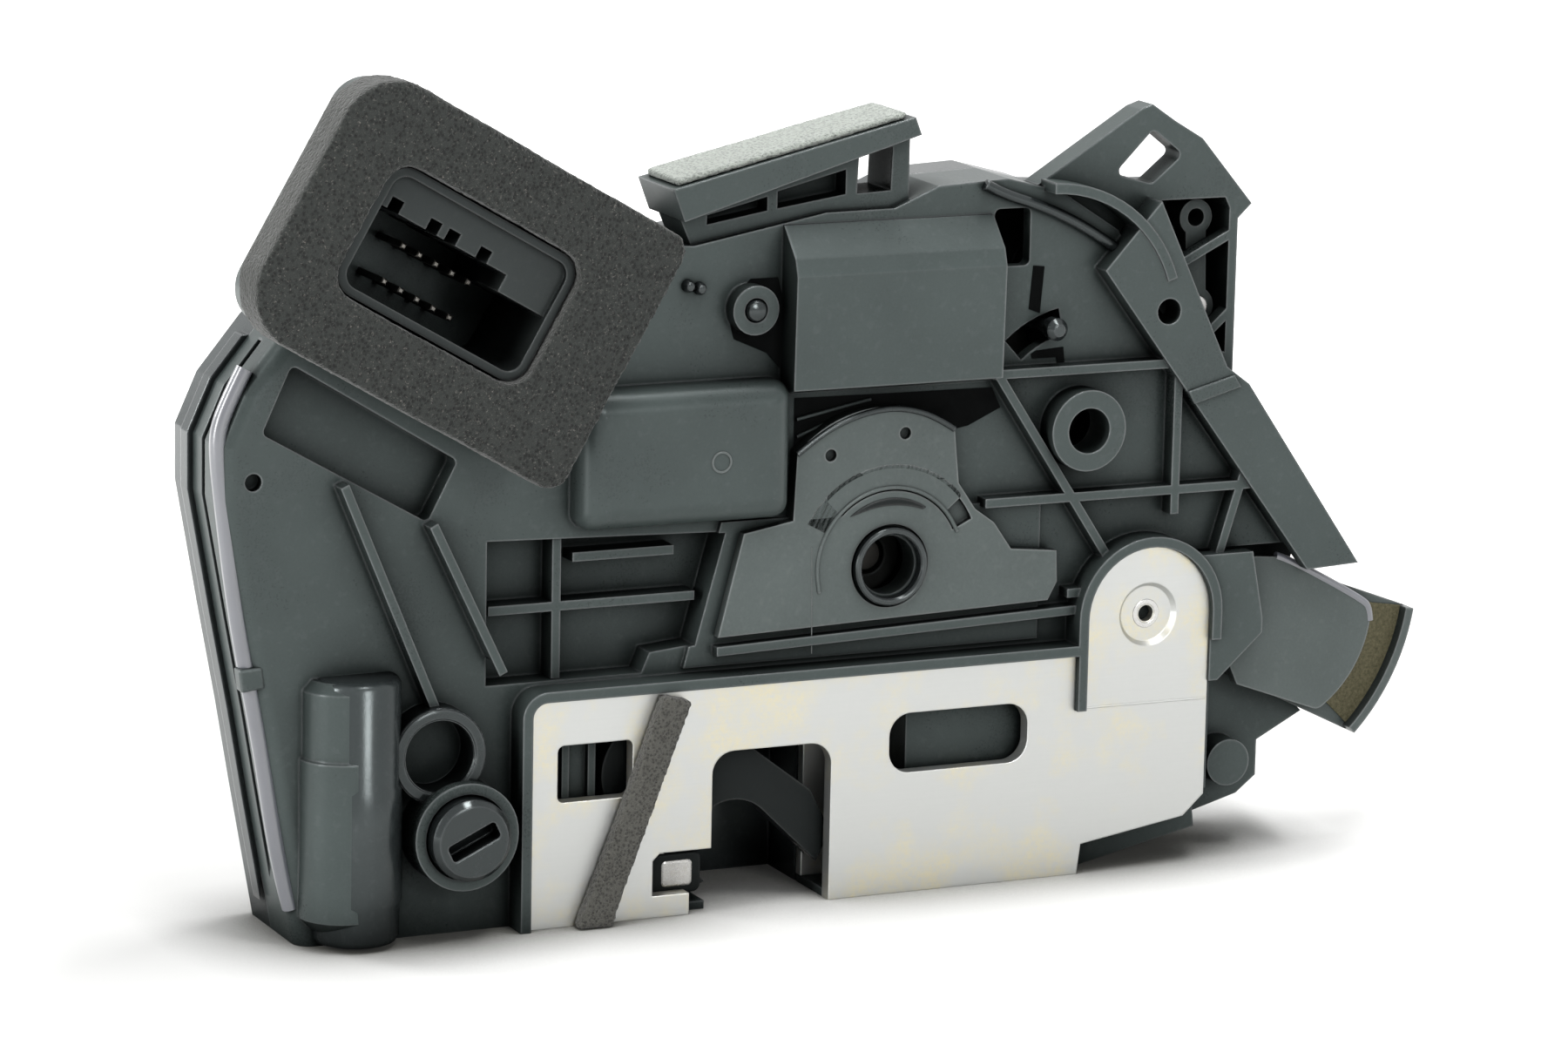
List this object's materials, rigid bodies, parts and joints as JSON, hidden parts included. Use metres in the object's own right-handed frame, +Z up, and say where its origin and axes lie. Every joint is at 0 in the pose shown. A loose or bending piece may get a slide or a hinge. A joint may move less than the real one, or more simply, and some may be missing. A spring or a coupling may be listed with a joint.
{
  "type": "door latch actuator",
  "caption": "Vehicle door latch with a steel striker plate, rotating claw, electric lock drive, foam-ringed connector and cable levers.",
  "frame": {"origin": "middle of the whole unit, on the surface its lower edge stands on", "axes": "+X runs right along the latch plate, -Y faces the viewer and the connector, +Z is up"},
  "size_m": [0.1729, 0.033, 0.1117],
  "materials": {
    "housing_plastic": "satin black polyamide, fine grain",
    "cover_plastic": "satin black polyamide",
    "lever_plastic": "satin dark grey acetal",
    "jacket_plastic": "matte black overmould",
    "knob_plastic": "gloss black",
    "shroud_plastic": "satin grey",
    "gear_plastic": "dark acetal",
    "zinc_plate": "zinc plated, satin, faint yellow",
    "bright_steel": "machined",
    "spring_steel": "drawn wire",
    "motor_can": "drawn can",
    "tinned_pins": "tin plated",
    "rubber": "moulded",
    "foam": "open cell foam, charcoal",
    "strip_foam": "open cell foam, brown grey",
    "felt": "light grey foam tape"
  },
  "bodies": {
    "base": {"housing": "housing_plastic", "rear_cover": "cover_plastic", "latch_plate": "zinc_plate", "latch_back_plate": "zinc_plate", "plate_rivets": "bright_steel", "foam_gasket": "foam", "foam_strip": "strip_foam", "connector_shroud": "shroud_plastic", "contact_pins": "tinned_pins", "claw_pin": "bright_steel", "claw_spring": "spring_steel", "pawl_pin": "bright_steel", "pawl_spring": "spring_steel", "striker_buffer": "rubber", "motor": "motor_can", "motor_end_cap": "shroud_plastic", "wheel_pin": "bright_steel", "lock_pin": "bright_steel", "quadrant_pin": "bright_steel", "quadrant_spring": "spring_steel", "cable_bracket": "housing_plastic", "release_pin": "bright_steel", "circuit_carrier": "gear_plastic", "microswitches": "jacket_plastic", "top_shelf": "housing_plastic", "shelf_pad": "felt", "gear_cover": "lever_plastic", "housing_screws": "bright_steel"},
    "claw_body": {"claw": "bright_steel", "claw_overmould": "jacket_plastic"},
    "pawl_body": {"pawl": "bright_steel"},
    "worm_body": {"worm": "bright_steel"},
    "wheel_body": {"worm_wheel": "gear_plastic"},
    "lock_lever_body": {"lock_lever": "gear_plastic", "ball_pin": "knob_plastic"},
    "quadrant_body": {"cable_quadrant": "lever_plastic"},
    "release_body": {"outside_release_lever": "lever_plastic"},
    "knob_body": {"lock_knob": "knob_plastic"}
  },
  "joints": [
    {"name": "claw_pivot", "type": "hinge", "parent": "base", "child": "claw_body", "pos_m": [-0.0268, -0.0001, 0.0188], "axis": [0, -1, 0], "range_deg": [0, 33]},
    {"name": "pawl_pivot", "type": "hinge", "parent": "base", "child": "pawl_body", "pos_m": [0.0073, -0.0001, 0.0094], "axis": [0, 1, 0], "range_deg": [0, 10]},
    {"name": "motor_spin", "type": "hinge", "parent": "base", "child": "worm_body", "pos_m": [0.0052, 0.0064, 0.0605], "axis": [1, 0, 0], "range_deg": [0, 1800]},
    {"name": "wheel_turn", "type": "hinge", "parent": "base", "child": "wheel_body", "pos_m": [0.0052, 0.0064, 0.0439], "axis": [0, -1, 0], "range_deg": [0, 75]},
    {"name": "lock_lever_pivot", "type": "hinge", "parent": "base", "child": "lock_lever_body", "pos_m": [0.0331, 0.0127, 0.0602], "axis": [0, -1, 0], "range_deg": [0, 15]},
    {"name": "inside_release", "type": "hinge", "parent": "base", "child": "quadrant_body", "pos_m": [0.0564, 0.0005, 0.036], "axis": [0, 1, 0], "range_deg": [0, 20]},
    {"name": "outside_release", "type": "hinge", "parent": "base", "child": "release_body", "pos_m": [0.0521, 0.004, 0.0745], "axis": [0, -1, 0], "range_deg": [0, 14]},
    {"name": "emergency_lock", "type": "hinge", "parent": "base", "child": "knob_body", "pos_m": [-0.0547, -0.0045, 0.0139], "axis": [0, -1, 0], "range_deg": [0, 60]}
  ],
  "couplings": [
    {"joint": "wheel_turn", "follows": "motor_spin", "ratio": 0.041667},
    {"joint": "lock_lever_pivot", "follows": "motor_spin", "ratio": 0.0083333}
  ]
}
